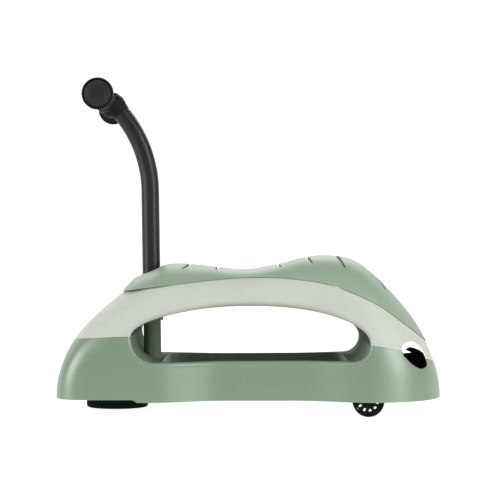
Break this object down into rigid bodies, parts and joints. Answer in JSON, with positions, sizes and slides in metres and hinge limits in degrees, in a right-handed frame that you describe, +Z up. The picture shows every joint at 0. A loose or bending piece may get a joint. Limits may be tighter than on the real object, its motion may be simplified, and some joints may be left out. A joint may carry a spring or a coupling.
{
  "type": "ride-on walker",
  "caption": "Low ride-on walker with a hollow moulded body, an opening through its sides, small front wheels, a swivel base at the rear and an upright push handle.",
  "frame": {"origin": "on the floor, under the middle of the object's length and width", "axes": "+X forwards to the nose, +Y to the rider's left, +Z up"},
  "size_m": [0.5766, 0.2934, 0.4924],
  "materials": {
    "green": "fine grained grey green",
    "seat_green": "fine grained pale grey green",
    "inner_green": "plain grey green",
    "cream": "fine grained warm off-white",
    "black": "satin black",
    "coated_steel": "satin black coating",
    "tread": "matt black",
    "steel": "zinc plated",
    "eye_white": "smooth white inlay",
    "eye_black": "smooth black inlay"
  },
  "bodies": {
    "body": {"base_shell": "green", "band_shell": "cream", "seat": "seat_green", "arch_liner": "inner_green", "handle_column": "inner_green", "front_axle": "steel", "axle_cap_left": "steel", "axle_cap_right": "steel", "thrust_ring": "black", "kingpin": "steel", "kingpin_washer": "steel", "kingpin_nut": "steel", "eye_white_left": "eye_white", "eye_white_right": "eye_white", "eye_drop_left": "eye_black", "eye_drop_right": "eye_black", "seat_screw_1": "steel", "seat_screw_2": "steel", "seat_screw_3": "steel", "seat_screw_4": "steel", "body_screw_1": "steel", "body_screw_2": "steel", "body_screw_3": "steel", "body_screw_4": "steel"},
    "handle": {"handle_tube": "coated_steel", "tube_plug": "black", "tee_hub": "black", "crossbar_tube": "coated_steel", "grip_left": "black", "grip_right": "black", "grip_cap_left": "black", "grip_cap_right": "black"},
    "wheel_left": {"front_wheel_left": "black", "front_tyre_left": "tread"},
    "wheel_right": {"front_wheel_right": "black", "front_tyre_right": "tread"},
    "swivel_base": {"turntable": "black", "caster_axle": "steel"},
    "caster_front": {"caster_wheel_front": "tread"},
    "caster_rear": {"caster_wheel_rear": "tread"}
  },
  "joints": [
    {"name": "handle_lift_out", "type": "slide", "parent": "body", "child": "handle", "axis": [-0.0148, 0, 0.9999], "range_m": [0, 0.12]},
    {"name": "front_wheel_left_spin", "type": "hinge", "parent": "body", "child": "wheel_left", "pos_m": [0.1716, 0.125, 0.02285], "axis": [0, 1, 0], "continuous": true},
    {"name": "front_wheel_right_spin", "type": "hinge", "parent": "body", "child": "wheel_right", "pos_m": [0.1716, -0.125, 0.02285], "axis": [0, 1, 0], "continuous": true},
    {"name": "rear_swivel", "type": "hinge", "parent": "body", "child": "swivel_base", "pos_m": [-0.2033, 0, 0.02], "axis": [0, 0, 1], "continuous": true},
    {"name": "caster_front_spin", "type": "hinge", "parent": "swivel_base", "child": "caster_front", "pos_m": [-0.1952, 0.026, 0.014], "axis": [1, 0, 0], "continuous": true},
    {"name": "caster_rear_spin", "type": "hinge", "parent": "swivel_base", "child": "caster_rear", "pos_m": [-0.2114, 0.026, 0.014], "axis": [1, 0, 0], "continuous": true}
  ]
}
